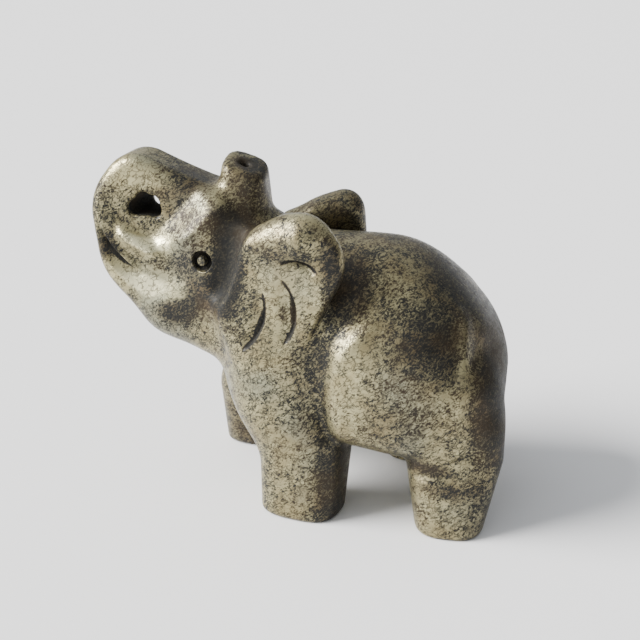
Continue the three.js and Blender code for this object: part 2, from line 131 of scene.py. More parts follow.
# Barrel of the body, squarer low down and rounder along the back, with the slope of the rump and
# its upright rear face.
BARREL = {"centre": (9.84, 0, 20.06), "half": (15.51, 11.6, 10.8)}
BARREL_POWER = {"low": 3.06, "high": 2.07, "start": 14, "end": 25.09}
RUMP_SLOPE = {"at": (24, 21.6155), "normal": (0.749, 0.671)}
RUMP_SOFTNESS = 4
REAR_FACE = {"lengthwise": 0.84, "sideways": 0.568, "reach": 22.69, "softness": 1.8}


def torso(x, y, z):
    rise = ease(BARREL_POWER["start"], BARREL_POWER["end"], z)
    barrel = block(x, y, z, **BARREL, power=mix(BARREL_POWER["low"], BARREL_POWER["high"], rise))
    sloped = keep(barrel, beyond(x, z, **RUMP_SLOPE), RUMP_SOFTNESS)
    rear = REAR_FACE["lengthwise"] * x + REAR_FACE["sideways"] * np.abs(y) - REAR_FACE["reach"]
    return keep(sloped, rear, REAR_FACE["softness"])


# Swelling of one side of the belly, joined to the thigh behind it.
FLANK = {"centre": (11.76, 5.04, 16.93), "half": (7.82, 8.39, 8.22), "power": 3.3}
THIGH = {"centre": (16.67, 5.25, 14.41), "half": (8.16, 7.22, 6.47), "power": 2.6}
THIGH_SOFTNESS = 2.5


def side(x, y, z, hand):
    return join(block(x, y * hand, z, **FLANK), block(x, y * hand, z, **THIGH), THIGH_SOFTNESS)


# Chest with the two shoulders and the front legs. The far legs stand further forward.
LEGS = {
    "near_front": {
        "foot": (2.4, -8.28),
        "top": (2.65, -7.26),
        "foot_half": (4.7, 3.83),
        "top_half": (5.15, 4.69),
        "height": 9,
        "cap": 13,
        "turn": 0.2,
    },
    "near_hind": {
        "foot": (19.55, -8.73),
        "top": (19.7, -7.14),
        "foot_half": (3.84, 4.4),
        "top_half": (5.52, 4.6),
        "height": 8,
        "cap": 15,
    },
    "far_front": {
        "foot": (-6.3, 8.93),
        "top": (-6.43, 7.09),
        "foot_half": (4.96, 3.22),
        "top_half": (4.94, 4.53),
        "height": 9,
        "cap": 13,
    },
    "far_hind": {
        "foot": (14.21, 8.54),
        "top": (15.02, 7.22),
        "foot_half": (4.07, 3.77),
        "top_half": (5.0, 4.6),
        "height": 8,
        "cap": 14,
    },
}
CHEST = {"centre": (0, 0, 17.58), "half": (8.6, 9.09, 9.0), "power": 2.3}
NEAR_SHOULDER = {"centre": (0.07, -6.03, 16.61), "half": (6.32, 6.02, 8.93), "power": 2.4}
FAR_SHOULDER = {"centre": (-2.4, 6.2, 15.5), "half": (6.2, 6.1, 9.5), "power": 2.4}
SHOULDER_SOFTNESS = 3


def forequarters(x, y, z):
    d = block(x, y, z, **CHEST)
    for shoulder in (NEAR_SHOULDER, FAR_SHOULDER):
        d = join(d, block(x, y, z, **shoulder), SHOULDER_SOFTNESS)
    for leg in ("near_front", "far_front"):
        d = join(d, pillar(x, y, z, **LEGS[leg]), SHOULDER_SOFTNESS)
    return d


# Side outline of the head with the trunk's curl and the chin, and the two flats of its jaw. A limb
# is its two ends and the radius at each.
MUZZLE = ((-18.12, 33.57), (-12.86, 27.61), 5.54, 9.52)
JAW = ((-13.26, 27.42), (-7.6, 25.02), 9.27, 8.82)
CURL_RIDGE = ((-18.33, 36.52), (-11.03, 33.91), 3.28, 2.29)
CHIN_FLAT = {"at": (-20.5, 23.5412), "normal": (-0.784, -0.619)}
JAW_FLAT = {"at": (-12.5, 16.2769), "normal": (-0.399, -0.93)}
FLAT_SOFTNESS = 1.5
OUTLINE_SOFTNESS = 1


def head_outline(x, z):
    d = join(outline_limb(x, z, *MUZZLE), outline_limb(x, z, *JAW), OUTLINE_SOFTNESS)
    d = join(d, outline_limb(x, z, *CURL_RIDGE), OUTLINE_SOFTNESS)
    for flat in (CHIN_FLAT, JAW_FLAT):
        d = keep(d, beyond(x, z, **flat), FLAT_SOFTNESS)
    return d


# The trunk's curl is a flat slab. Below the brow line the head widens to the cheek, below the lip
# line to the muzzle, with a raised lip between, and towards the neck to the jowl.
TRUNK_HALF_WIDTH = 3.41
BROW_LINE = {"at": (-10.75, 34), "normal": (np.sqrt(0.5), -np.sqrt(0.5))}
LIP_LINE = {"at": (-19.04, 31.15), "normal": (-0.417, -0.908)}
CHEEK = {"width": 2.99, "start": -2.16, "full": 2.0, "full_at_jaw": 7.5, "high": 32, "low": 26}
MUZZLE_STEP = {"width": 1.43, "middle": -0.05, "reach": 0.7, "reach_in_front": 3.5}
MUZZLE_FRONT, MUZZLE_FULL = -22.5, -19
RAISED_LIP = {"height": 0.35, "level": 0.88, "width": 0.66, "front": -22, "full": -19}
BROW_FADE = {"high": 2, "low": -1}  # the raised lip dies out between these levels below the brow
JOWL = {"width": 1.42, "start": -14.03, "end": -4.02, "high": 34, "low": 28}
HEAD_EDGE = {"slab": 1.8, "cheek": 5, "start": -3, "end": 9}
STEP_SOFTNESS = 0.8


def head(x, y, z):
    below_brow = beyond(x, z, **BROW_LINE)
    below_lip = beyond(x, z, **LIP_LINE)
    full_cheek = mix(CHEEK["full"], CHEEK["full_at_jaw"], ease(CHEEK["high"], CHEEK["low"], z))
    cheek = CHEEK["width"] * ease(CHEEK["start"], full_cheek, below_brow)
    full_step = ease(MUZZLE_FRONT, MUZZLE_FULL, x)
    reach = mix(MUZZLE_STEP["reach_in_front"], MUZZLE_STEP["reach"], full_step)
    muzzle = MUZZLE_STEP["width"] * ease(-reach, reach, below_lip - MUZZLE_STEP["middle"])
    half = TRUNK_HALF_WIDTH - join(-cheek, -muzzle, STEP_SOFTNESS)
    lip = np.exp(-(((below_lip - RAISED_LIP["level"]) / RAISED_LIP["width"]) ** 2))
    lip = lip * ease(BROW_FADE["high"], BROW_FADE["low"], below_brow)
    half = half + RAISED_LIP["height"] * lip * ease(RAISED_LIP["front"], RAISED_LIP["full"], x)
    jowl = ease(JOWL["start"], JOWL["end"], x) * ease(JOWL["high"], JOWL["low"], z)
    half = half + JOWL["width"] * jowl
    on_cheek = ease(HEAD_EDGE["start"], HEAD_EDGE["end"], below_brow)
    edge = mix(HEAD_EDGE["slab"], HEAD_EDGE["cheek"], on_cheek)
    return keep(head_outline(x, z), np.abs(y) - half, edge)


# Upright end of the trunk on the forehead, its top sloping down to the rear.
TIP_BASE = 31.09
TIP = {
    "foot": (-6.31, -0.16),
    "top": (-5.86, -0.14),
    "foot_half": (3.6, 3.78),
    "top_half": (2.4, 2.71),
    "height": 8,
    "cap": 12,
    "power": 3,
}
TIP_TOP = {"at": (-5.67, 0, 38.93), "normal": (0.3, -0.202, 0.93), "softness": 0.8}
TIP_ROOT = {"level": 30, "softness": 3}


def trunk_tip(x, y, z):
    above = sum(n * (v - a) for n, v, a in zip(TIP_TOP["normal"], (x, y, z), TIP_TOP["at"]))
    d = keep(pillar(x, y, z - TIP_BASE, **TIP), above, TIP_TOP["softness"])
    return keep(d, TIP_ROOT["level"] - z, TIP_ROOT["softness"])


# Thick ear that stands off the body at its rear edge, with a rolled fold along its top. The near
# ear is wider, and the far one hangs lower and further back.
FAR_EAR_DROP, FAR_EAR_BACK = 1.9, 0.8
EAR_REAR = ((1.68, 30.36), (-1.2, 23.4), 4.23, 4.6)
EAR_FRONT = ((-2.8, 29.14), (-2.6, 23.8), 3.14, 4.4)
NEAR_EAR_WIDER = (((2.6, 30.5), (-0.9, 23.2), 4.75, 4.8), ((2.5, 30.5), (-2.8, 29.3), 4.8, 3.2))
EAR_STANDS_OUT = {NEAR: {"front": 7.2, "rear": 11.2}, FAR: {"front": 8.1, "rear": 10.75}}
EAR_BOW = {"front": -7, "rear": 6.5, "lean": 0.028, "level": 22}
EAR_HALF_THICKNESS = {"front": 2.5, "rear": 1.25, "start": -4, "end": 5}
EAR_FOLD = {"front": (-3.18, 31.25), "rear": (3.1, 33.34), "radii": (1.74, 2.25)}
FOLD_OUT_AT_FRONT, FOLD_IN_AT_REAR = 1.2, 0.05
EAR_SOFTNESS = 1.6


def on_ear(x, y, z):
    """Place in the near ear's side view, also for a point on the far side."""
    return x - np.where(y > 0, FAR_EAR_BACK, 0), z + np.where(y > 0, FAR_EAR_DROP, 0)


def ear(x, y, z, hand):
    x, level = on_ear(x, hand, z)
    out = y * hand
    outline = outline_limb(x, level, *EAR_REAR)
    for lobe in (*(NEAR_EAR_WIDER if hand == NEAR else ()), EAR_FRONT):
        outline = join(outline, outline_limb(x, level, *lobe), OUTLINE_SOFTNESS)
    front, rear = EAR_STANDS_OUT[hand]["front"], EAR_STANDS_OUT[hand]["rear"]
    middle = mix(front, rear, ease(EAR_BOW["front"], EAR_BOW["rear"], x))
    middle = middle - EAR_BOW["lean"] * (level - EAR_BOW["level"])
    thinned = ease(EAR_HALF_THICKNESS["start"], EAR_HALF_THICKNESS["end"], x)
    half = mix(EAR_HALF_THICKNESS["front"], EAR_HALF_THICKNESS["rear"], thinned)
    plate = keep(outline, np.abs(out - middle) - half, EAR_SOFTNESS)
    fold_front = (EAR_FOLD["front"][0], front + FOLD_OUT_AT_FRONT, EAR_FOLD["front"][1])
    fold_rear = (EAR_FOLD["rear"][0], rear - FOLD_IN_AT_REAR, EAR_FOLD["rear"][1])
    return join(plate, limb(x, out, level, fold_front, fold_rear, *EAR_FOLD["radii"]), EAR_SOFTNESS)


# The whole figure before the drilled and incised work, with the softness of each joining line.
NECK = ((-4, 0, 24.83), (5.95, 0, 20.64), 7.82, 9.23)
CHEEK_HOLLOW = ((-5.7, 8.8, 33.8), (-7.2, 8.2, 26.6), 2.3, 1.3)  # between the cheek and the ear
BLEND = {
    "sides": 1.5,
    "forequarters": 0.9,
    "near_hind": 1,
    "far_hind": 1.5,
    "neck": 2.5,
    "trunk_tip": 1.4,
    "head": 1.8,
    "ears": 0.9,
    "ears_in_front": 2.4,
    "cheek_hollow": 1.4,
}
EAR_ROOT = {"front": -6.5, "rear": -1}


def figure(x, y, z):
    d = torso(x, y, z)
    for hand in (NEAR, FAR):
        d = join(d, side(x, y, z, hand), BLEND["sides"])
    d = join(d, forequarters(x, y, z), BLEND["forequarters"])
    for leg in ("near_hind", "far_hind"):
        d = join(d, pillar(x, y, z, **LEGS[leg]), BLEND[leg])
    d = join(d, limb(x, y, z, *NECK), BLEND["neck"])
    d = join(d, join(head(x, y, z), trunk_tip(x, y, z), BLEND["trunk_tip"]), BLEND["head"])
    behind_root = ease(EAR_ROOT["front"], EAR_ROOT["rear"], x)
    ear_softness = mix(BLEND["ears_in_front"], BLEND["ears"], behind_root)
    for hand in (NEAR, FAR):
        d = join(d, ear(x, y, z, hand), ear_softness)
        d = cut(d, limb(x, y * hand, z, *CHEEK_HOLLOW), BLEND["cheek_hollow"])
    return d


# Incised lines: arcs of the side view from one angle to another in degrees, deepest half way. The
# wall outside the arc is one width and the wall inside it another, so a crescent is steep on one side.
CRESCENT = {"outer": 0.2, "inner": 2.0, "depth": 0.85}
SMALL_CRESCENT = {"outer": 0.2, "inner": 1.1, "depth": 0.7}
EAR_CUTS = (
    {**SMALL_CRESCENT, "centre": (2.4, 28.3), "radius": 2.75, "start": 128, "end": 32},
    {**CRESCENT, "centre": (-2.95, 24.95), "radius": 5.25, "start": 46, "end": -40},
    {**CRESCENT, "centre": (-7.3, 25.2), "radius": 6.05, "start": 17, "end": -55},
)
MOUTH_WALLS = {"outer": 1.7, "inner": 0.25, "depth": 0.85}
MOUTH_CUT = {**MOUTH_WALLS, "centre": (-10.5, 37.5), "radius": 13.2, "start": -157, "end": -119}


def arc_cut(x, z, centre, radius, start, end, outer, inner, depth):
    reach = np.hypot(x - centre[0], z - centre[1]) - radius
    angle = np.degrees(np.arctan2(z - centre[1], x - centre[0]))
    half_way, span = (start + end) / 2, abs(end - start) / 2
    off = np.abs((angle - half_way + 180) % 360 - 180) / span
    fade = np.clip(1 - off**2, 0, 1)
    wall = np.where(reach > 0, np.clip(1 - reach / outer, 0, 1), np.clip(1 + reach / inner, 0, 1))
    return depth * fade * wall


# Hole through the curl: its four corners where it meets the near side, and how far the drill ran to
# the rear and down for each millimetre inwards.
HOLE_CORNERS = ((-18.23, 33.8), (-17.2, 34.8), (-16.1, 34.4), (-15.95, 33.65))
HOLE_CORNER_RADIUS, HOLE_SIDE_SOFTNESS, HOLE_EDGE = 0.8, 0.3, 0.5
HOLE_MOUTH, HOLE_TO_REAR, HOLE_DOWN = -3.4, 0.137, 0.04


def drilled_hole(x, y, z):
    inwards = y - HOLE_MOUTH
    at = (x - HOLE_TO_REAR * inwards, z + HOLE_DOWN * inwards)
    return along_path(*at, HOLE_CORNERS + HOLE_CORNERS[:1], HOLE_CORNER_RADIUS, HOLE_SIDE_SOFTNESS)


NOSTRIL = ((-5.75, -0.4, 40.3), (-5.9, -0.5, 37.6), 0.78, 0.5)
NOSTRIL_EDGE = 0.3
EYE = (-9.4, 28.85)  # the middle of its ball, in the side view
EYE_GROOVE = {"radius": 0.86, "half_width": 0.29, "depth": 0.95}
# The relief lies on the sides alone, and fades in from one distance from the middle to the next.
SIDE_STARTS, SIDE_IS_FULL = 2, 4
EAR_FACE_STARTS, EAR_FACE_IS_FULL = 7.5, 9
BODY_SIDE_STARTS, BODY_SIDE_IS_FULL = 5, 8
# Shallow flute along the front of the curl, and the ridge of the upper lip.
FLUTE = {"path": ((-20.3, 30.6), (-17.3, 27.5)), "depth": 0.36, "width": 0.75}
UPPER_LIP = {
    "path": ((-19.6, 31.5), (-16.2, 29.75), (-14.2, 29.9), (-11.0, 31.5)),
    "height": 0.34,
    "width": 0.5,
    "softness": 0.3,
}
LINE_RADIUS = 0.02  # of the flute and the upper lip
LIP_FADE = {"edge": 0, "full": -1.2}  # inside the head's outline
MOUTH_FADE = {"edge": -0.3, "full": -1.8}
SOLE_EDGE = 0.7

HAUNCH_CORNER = (
    *((15.7, 29.6), (17.0, 28.6), (18.8, 26.7), (20.3, 24.0)),
    *((20.5, 20.0), (20.4, 13.5), (20.3, 10.2)),
)
# Ridges (above zero) and grooves on the sides of the body: height, width and path.
BODY_LINES = (
    (0.3, 0.6, HAUNCH_CORNER),
    # crease under the haunch, and the fold above it
    (-0.35, 0.8, ((16.4, 7.2), (19.2, 7.6), (21.8, 10.2))),
    (0.2, 0.6, ((15.2, 9.9), (18.0, 9.2), (20.3, 10.0))),
    # groove behind the shoulder, and the edge of the flank behind it
    (-0.32, 0.9, ((9.8, 26.3), (7.5, 23.6), (5.9, 21.0), (5.3, 17.5), (5.2, 14.0), (5.5, 10.8))),
    (0.2, 1.0, ((10.2, 24.3), (8.3, 22.0), (7.2, 19.0), (6.9, 15.0), (7.4, 11.6))),
)


def carving(x, y, z):
    """The figure with its hole, nostril, eyes, cuts and shallow relief, and its soles ground flat."""
    d = cut(figure(x, y, z), drilled_hole(x, y, z), HOLE_EDGE)
    d = cut(d, limb(x, y, z, *NOSTRIL), NOSTRIL_EDGE)
    out = np.abs(y)
    on_side = ease(SIDE_STARTS, SIDE_IS_FULL, out)
    from_ring = np.hypot(x - EYE[0], z - EYE[1]) - EYE_GROOVE["radius"]
    d = d + on_side * EYE_GROOVE["depth"] * np.exp(-((from_ring / EYE_GROOVE["half_width"]) ** 4))
    flute = along_path(x, z, FLUTE["path"], LINE_RADIUS)
    d = d + on_side * FLUTE["depth"] * np.exp(-((flute / FLUTE["width"]) ** 2))
    lip = along_path(x, z, UPPER_LIP["path"], LINE_RADIUS, UPPER_LIP["softness"])
    lip = UPPER_LIP["height"] * np.exp(-((lip / UPPER_LIP["width"]) ** 2))
    d = d - on_side * lip * ease(LIP_FADE["edge"], LIP_FADE["full"], head_outline(x, z))
    ear_face = ease(EAR_FACE_STARTS, EAR_FACE_IS_FULL, out)
    for line in EAR_CUTS:
        d = d + ear_face * arc_cut(*on_ear(x, y, z), **line)
    mouth = on_side * ease(MOUTH_FADE["edge"], MOUTH_FADE["full"], head_outline(x, z))
    d = d + mouth * arc_cut(x, z, **MOUTH_CUT)
    for height, width, path in BODY_LINES:
        relief = height * np.exp(-((along_path(x, z, path) / width) ** 2))
        d = d - relief * ease(BODY_SIDE_STARTS, BODY_SIDE_IS_FULL, out)
    return keep(d, -z, SOLE_EDGE)


# The skin is drawn as a net of small facets: one point in each cell of a grid that the skin crosses.
ROOM_LOW, ROOM_HIGH = (-25.2, -15.2, -1.2), (26.9, 15.2, 41.4)
CELL = 0.36
CELLS_IN_BLOCK = 6  # only blocks near the skin are worked out in full
BLOCK_MARGIN = 1.3


def sampled(distance):
    blocks = [int(np.ceil((h - s) / CELL / CELLS_IN_BLOCK)) for s, h in zip(ROOM_LOW, ROOM_HIGH)]
    axes = [s + CELL * np.arange(n * CELLS_IN_BLOCK + 1) for s, n in zip(ROOM_LOW, blocks)]
    grids = np.meshgrid(*(a[::CELLS_IN_BLOCK] for a in axes), indexing="ij")
    values = distance(*(g.ravel() for g in grids)).reshape(grids[0].shape)
    for axis in range(3):
        values = np.repeat(values, CELLS_IN_BLOCK, axis)
    values = values[tuple(slice(0, len(a)) for a in axes)].copy()
    close = np.argwhere(np.abs(values) < BLOCK_MARGIN * CELL * CELLS_IN_BLOCK)
    values[tuple(close.T)] = distance(*(a[i] for a, i in zip(axes, close.T)))
    return values


def surface_net(distance):
    values = sampled(distance)
    inside = values < 0
    cells = [n - 1 for n in values.shape]
    total = np.zeros(cells + [3])
    crossings = np.zeros(cells)
    for axis in range(3):
        for p in (0, 1):
            for q in (0, 1):
                low = np.zeros(3, int)
                low[(axis + 1) % 3], low[(axis + 2) % 3] = p, q
                high = low.copy()
                high[axis] = 1
                a = values[tuple(slice(s, s + n) for s, n in zip(low, cells))]
                b = values[tuple(slice(s, s + n) for s, n in zip(high, cells))]
                crossed = (a < 0) != (b < 0)
                along = np.where(crossed, a / np.where(crossed, a - b, 1), 0)
                for k in range(3):
                    total[..., k] += along if k == axis else low[k] * crossed
                crossings += crossed
    active = crossings > 0
    number = -np.ones(cells, int)
    number[active] = np.arange(active.sum())
    points = np.argwhere(active) + total[active] / crossings[active][:, None]
    points = np.array(ROOM_LOW) + CELL * points
    quads = []
    for axis in range(3):
        u, v = (axis + 1) % 3, (axis + 2) % 3
        here = np.delete(inside.swapaxes(0, axis), -1, 0).swapaxes(0, axis)
        there = np.delete(inside.swapaxes(0, axis), 0, 0).swapaxes(0, axis)
        edges = np.argwhere(here != there)
        within = (edges[:, [u, v]] > 0) & (edges[:, [u, v]] < [cells[u], cells[v]])
        edges = edges[within.all(1)]
        ring = []
        for du, dv in ((1, 1), (0, 1), (0, 0), (1, 0)):
            cell = edges.copy()
            cell[:, u] -= du
            cell[:, v] -= dv
            ring.append(number[tuple(cell.T)])
        ring = np.stack(ring, 1)
        outward = here[tuple(edges.T)]
        ring[~outward] = ring[~outward][:, ::-1]
        quads.append(ring)
    a, b, c, d = np.concatenate(quads).T
    across, other = (np.linalg.norm(points[p] - points[q], axis=1) for p, q in ((a, c), (b, d)))
    short = across <= other
    one = np.where(short, [a, b, c], [a, b, d])
    two = np.where(short, [a, c, d], [b, c, d])
    return points, np.concatenate([one.T, two.T])


# Points are moved onto the skin in short steps along its slope.
PROBE = 0.02
SHARE_OF_WAY = 0.8
LONGEST_STEP = 0.3
LEAST_STEEPNESS = 0.05


def settled(distance, points, steps):
    for _ in range(steps):
        shifts = PROBE * np.eye(3)
        sides = [distance(*(points + s).T) - distance(*(points - s).T) for s in shifts]
        steep = np.stack(sides, 1) / (2 * PROBE)
        scale = distance(*points.T) / np.maximum((steep**2).sum(1), LEAST_STEEPNESS)
        move = -SHARE_OF_WAY * scale[:, None] * steep
        longest = np.maximum(np.linalg.norm(move, axis=1, keepdims=True), SMALLEST)
        points = points + move * np.minimum(1, LONGEST_STEP / longest)
    return points


def split_where(points, triangles, chosen):
    """Halves every edge of the chosen triangles, and cuts their neighbours to match."""
    pairs = np.sort(np.concatenate([triangles[:, [k, (k + 1) % 3]] for k in range(3)]), 1)
    edges, which = np.unique(pairs, axis=0, return_inverse=True)
    which = which.reshape(3, -1).T
    halved = np.zeros(len(edges), bool)
    halved[which[chosen].ravel()] = True
    half_way = -np.ones(len(edges), int)
    half_way[halved] = len(points) + np.arange(halved.sum())
    points = np.concatenate([points, points[edges[halved]].mean(1)])
    count = halved[which].sum(1)
    out = [triangles[count == 0]]
    for many in (1, 2, 3):
        rows = np.flatnonzero(count == many)
        cut_edges = halved[which[rows]]
        turn = np.argmax(cut_edges, 1) if many == 1 else np.argmin(cut_edges, 1) + 1
        order = (turn[:, None] + np.arange(3)) % 3
        a, b, c = np.take_along_axis(triangles[rows], order, 1).T
        ab, bc, ca = half_way[np.take_along_axis(which[rows], order, 1)].T
        if many == 1:
            parts = ((a, ab, c), (ab, b, c))
        elif many == 2:
            parts = ((ab, b, bc), (a, ab, bc), (a, bc, c))
        else:
            parts = ((a, ab, ca), (ab, b, bc), (ca, bc, c), (ab, bc, ca))
        out += [np.stack(part, 1) for part in parts]
    return points, np.concatenate(out)


FINE_MARGIN = 0.3  # finer facets reach this far past the incised work
SHARE_OF_INNER_WALL = 0.4  # of a crescent's long wall, only the deep part
FINE_EYE = 1.5
MOUTH_WALL = 0.6
HEAD_SIDE, HEAD_SIDE_AT_EYE, EAR_FACE, EAR_FACE_FRONT = 2, 4, 8.5, -5


def near_carving(points):
    """True round the eye, the crescent cuts and the mouth, which need finer facets than the rest."""
    x, y, z = points.T
    out = np.abs(y)
    found = (np.hypot(x - EYE[0], z - EYE[1]) < FINE_EYE) & (out > HEAD_SIDE_AT_EYE)
    for line in EAR_CUTS:
        walls = {
            "outer": line["outer"] + FINE_MARGIN,
            "inner": line["inner"] * SHARE_OF_INNER_WALL + FINE_MARGIN,
        }
        bite = arc_cut(*on_ear(x, y, z), **{**line, **walls})
        found |= (bite > 0) & (out > EAR_FACE) & (x > EAR_FACE_FRONT)
    walls = {"outer": MOUTH_WALL, "inner": MOUTH_CUT["inner"] + FINE_MARGIN}
    return found | ((arc_cut(x, z, **{**MOUTH_CUT, **walls}) > 0) & (out > HEAD_SIDE))


FIRST_STEPS, STEPS_AFTER_SPLIT = 3, 2
SPLITS = 2
points, triangles = surface_net(carving)
points = settled(carving, points, FIRST_STEPS)
for _ in range(SPLITS):
    points, triangles = split_where(points, triangles, near_carving(points[triangles].mean(1)))
    points = settled(carving, points, STEPS_AFTER_SPLIT)
middle = (points.min(0) + points.max(0)) / 2 * (1, 1, 0)  # of its box, on the floor

elephant_mesh = bpy.data.meshes.new("polished_elephant")
elephant_mesh.from_pydata(((points - middle) * MM).tolist(), [], triangles.tolist())
elephant_mesh.shade_smooth()
elephant = bpy.data.objects.new("polished_elephant", elephant_mesh)
bpy.context.scene.collection.objects.link(elephant)

# Tone of the stone: patches where the metal grains lie thick (above zero) or the dark ground wins, and
# among them painted highlights and painted shade, each marked.
# Each is a centre and a half-width in millimetres, and a strength.
TONE_PATCHES = (
    ((-18.5, -4, 38.3), (3.2, 5, 2.3), 0.8),  # top of the trunk's curl, a painted highlight where it faces the window
    # painted highlight further along the top of the curl
    ((-15.0, -4, 37.2), (2.0, 3, 1.2), 0.5),
    ((-12.3, -3, 37.0), (3.6, 5, 2.6), -0.7),  # back of the trunk behind the curl
    ((-11.5, -7, 27.5), (3.4, 4, 3.2), -0.5),  # cheek
    ((-17.8, -4, 33.8), (3.4, 3, 2.4), -0.1),  # round the drilled hole
    ((-8.8, -5, 36.4), (2.0, 3, 2.0), 0.3),  # painted highlight on the slope from the trunk to the brow
    ((-12.0, -5, 33.0), (2.4, 3, 1.5), -0.6),  # brow in front of the eye
    ((-13.2, -5, 30.8), (2.2, 3, 1.4), -0.3),
    ((-15.5, -5, 30.2), (4.0, 3, 1.0), 0.9),  # upper lip, a painted highlight along its ridge
    ((-16.0, -6, 25.3), (4.0, 3, 1.5), 1.1),  # lower lip, a painted highlight on its ledge
    ((-21.3, -4, 29.3), (1.6, 3, 2.2), -0.8),  # inside the mouth, painted shade in the recess
    ((-12.6, -6, 22.6), (2.8, 3, 1.5), -1.1),  # jaw under the cheek
    ((-9.4, -6, 24.6), (2.2, 3, 2.0), -0.8),
    ((-5.4, -8, 30.5), (1.9, 5, 6.5), -1.5),  # valley between cheek and ear: dark stone, deepened with painted shade
    # painted shade at the top of the same valley
    ((-8.4, -6, 33.6), (1.4, 2, 1.6), -0.5),
    ((-4.0, -1, 36.5), (1.8, 5, 4.5), -0.6),  # rear of the trunk's tip, painted shade on the side turned from the window
    ((-6.5, -3.5, 37.2), (1.6, 2, 1.8), -0.3),
    ((1.5, -11, 31.6), (4.0, 3, 1.3), -0.5),  # under the rolled top of the ear
    ((6.3, -11, 30.3), (1.1, 4, 4.2), -0.85),  # inside the ear's rear edge, painted shade where the face turns away from the window
    ((3.6, -11, 17.0), (1.8, 4, 7.0), -0.3),  # shoulder in front of the groove
    ((1.5, -11, 26.5), (4.5, 3, 4.0), 0.5),  # face of the ear
    ((0.9, -11, 24.8), (0.5, 2, 1.3), -0.9),  # floors of its crescents, painted shade
    # painted shade on the floor of the next crescent
    ((-2.4, -10, 25.5), (0.5, 3, 1.5), -0.7),
    ((-6.9, -8, 24.3), (1.7, 3, 1.3), -0.9),  # brown field between cheek and ear
    ((7.6, -8, 25.5), (2.3, 4, 6.5), -1.05),  # groove behind the ear: dark stone, deepened with painted shade
    # painted shade lower down the same groove
    ((5.5, -9, 20.5), (2.2, 3, 2.5), -0.8),
    ((3.0, 11, 29.0), (7.0, 5, 7.0), -0.55),  # far ear
    ((14.0, 0, 30.5), (9.0, 9, 3.4), -0.3),  # saddle
    ((19.5, -3, 27.5), (4.2, 9, 4.5), -0.7),
    ((25.8, 0, 18.0), (4.6, 14, 13.0), -1.4),  # rump: darker stone, with painted shade on the rear face turned from the window
    # painted shade low on the rear face
    ((23.8, -6, 14.5), (2.6, 8, 5.5), -0.9),
    ((16.2, -10, 21.3), (4.3, 4, 4.0), -1.0),  # brown field on the haunch
    ((8.4, -11, 19.0), (2.0, 4, 7.0), 0.55),  # flank behind the foreleg, a painted highlight along its edge facing the window
    ((13.0, -12, 13.5), (4.0, 4, 3.0), -0.3),  # belly
    ((-2.0, -10, 17.0), (3.5, 4, 4.0), 0.35),  # chest
    ((-6.3, 9, 4.0), (5.0, 7, 7.0), -0.8),  # far foreleg
    ((6.2, -8, 4.0), (2.4, 6, 8.5), -1.2),  # rear of the near foreleg, painted shade on the side turned from the window
    ((22.5, -10, 3.0), (1.6, 5, 6.0), -0.35),  # rear of the near hind leg, painted shade on the side turned from the window
    ((15.0, -11, 8.6), (2.5, 3, 1.4), -0.3),  # crease under the haunch
    ((17.6, -10, 7.7), (2.2, 3, 0.8), -1.1),
    ((19.6, -10, 5.6), (2.6, 3, 1.0), -1.1),
    ((-5.75, -0.4, 38.7), (1.2, 1.2, 0.8), -3.0),  # nostril, painted shade inside it
)
# Painted highlights along ridges that face the window: two ends, a width and a strength.
PAINTED_HIGHLIGHT_RIDGES = (
    ((-19.9, -5, 31.6), (-16.3, -5, 29.8), 0.45, 1.5),  # upper lip
    ((-16.3, -5, 29.8), (-14.4, -5, 29.9), 0.45, 1.3),
    ((-14.4, -5, 29.9), (-11.2, -5, 31.5), 0.5, 0.9),
    ((-21.2, -5, 27.3), (-16.5, -5, 24.7), 0.6, 1.4),  # lower lip
    ((-16.5, -5, 24.7), (-13.6, -6, 24.6), 0.9, 0.6),
    ((20.5, -10, 24.0), (20.4, -11, 12.0), 0.35, 0.8),  # corner of the haunch
    ((7.4, -11, 21.0), (6.7, -12, 12.0), 0.6, 0.5),  # front edge of the flank
    ((2.4, -11, 35.7), (6.2, -11, 34.4), 0.4, 0.9),  # ear's rim
    ((6.2, -11, 34.4), (7.4, -11, 31.0), 0.3, 1.2),
)
# Painted shade in narrow hollows, in the same form.
PAINTED_SHADE_LINES = (
    ((-5.7, -6.8, 33.6), (-6.9, -7.6, 26.4), 0.7, 2.2),  # valley between cheek and ear
    ((5.3, -11.5, 20.0), (5.4, -11.5, 12.0), 0.3, 0.4),  # groove behind the shoulder
)
DARKEST, BRIGHTEST = -1.5, 2.4
# Painted shade lies deep in every cut and along the steep wall of each crescent.
CUT_SHADE = 4
CUT_SHADE_STARTS, CUT_SHADE_IS_FULL = 0.55, 0.75  # depth under the uncut figure
CUT_SHADE_LINE = {"outer": 0.25, "inner": 0.28, "depth": 3.0}
CUT_SHADE_LINE_OUT = 8  # on the ears, not on the neck between them


def streaks(points, lines):
    """Soft lines of tone in space, summed."""
    total = 0
    for start, end, width, strength in lines:
        away = limb(*points.T, start, end, THIN, THIN)
        total = total + strength * np.exp(-((away / width / 2) ** 2))
    return total


